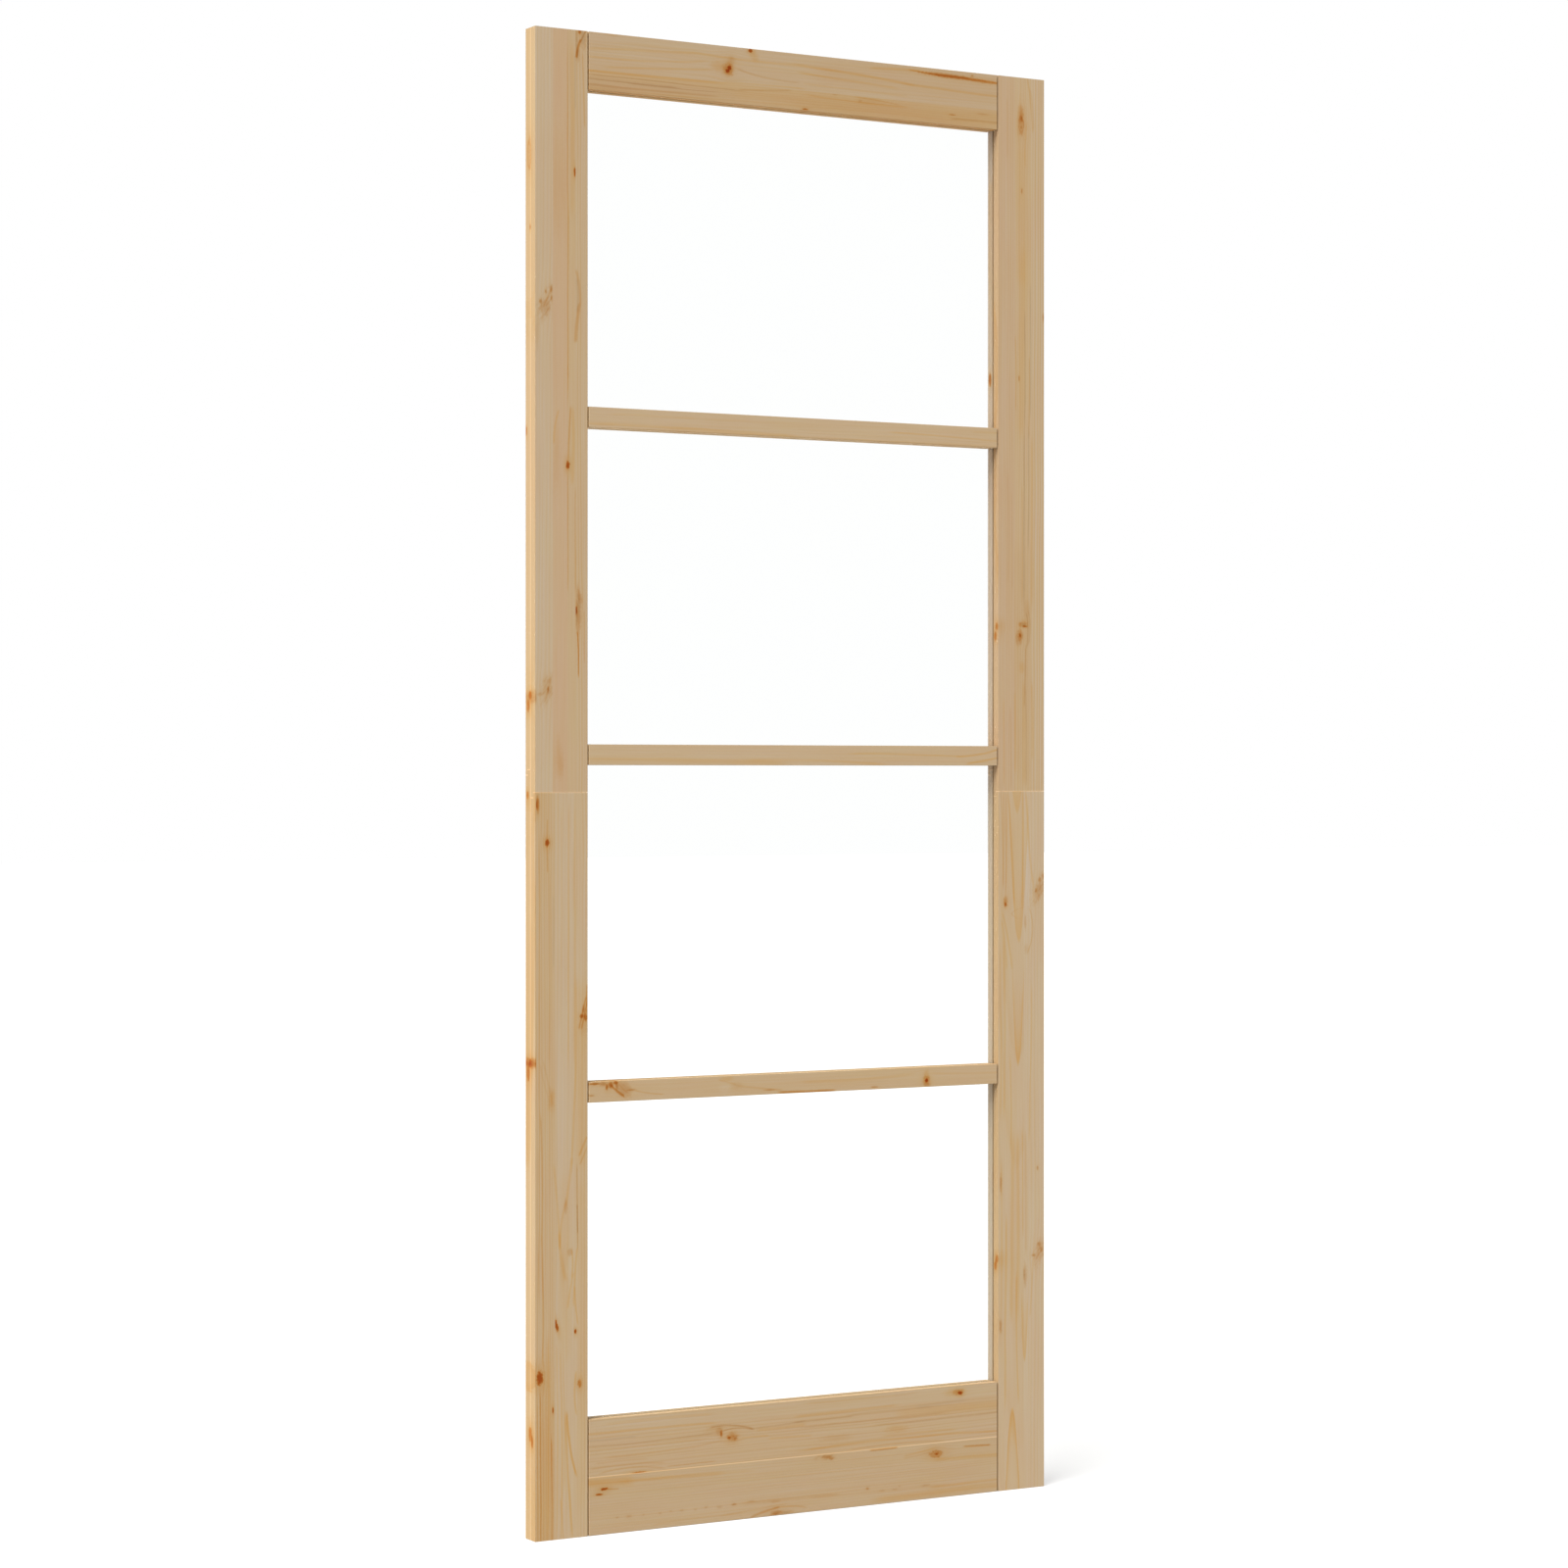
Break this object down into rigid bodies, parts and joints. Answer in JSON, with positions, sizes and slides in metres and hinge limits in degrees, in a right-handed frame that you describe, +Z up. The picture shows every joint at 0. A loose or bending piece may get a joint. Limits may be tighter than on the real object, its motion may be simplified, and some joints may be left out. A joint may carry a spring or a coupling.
{
  "type": "glazed interior door",
  "caption": "Interior door leaf of solid pine boards with glass panes one above another between slim glazing bars, held in a groove round each opening.",
  "frame": {"origin": "foot of the hinge edge (the left edge seen from the front), half way through the thickness of the leaf", "axes": "+X across the leaf from the hinge edge to the lock edge, +Y from the front face to the back face, +Z up"},
  "size_m": [0.85, 0.03, 2.1],
  "materials": {
    "pine": "planed solid pine, unfinished and matt, with knots",
    "glass": "clear float glass, polished faces, edges ground"
  },
  "bodies": {
    "root": {"left_stile_lower": "pine", "left_stile_upper": "pine", "right_stile_lower": "pine", "right_stile_upper": "pine", "top_rail": "pine", "bottom_rail_lower_board": "pine", "bottom_rail_upper_board": "pine", "lower_glazing_bar": "pine", "middle_glazing_bar": "pine", "upper_glazing_bar": "pine", "bottom_glass_pane": "glass", "lower_middle_glass_pane": "glass", "upper_middle_glass_pane": "glass", "top_glass_pane": "glass"}
  },
  "joints": []
}
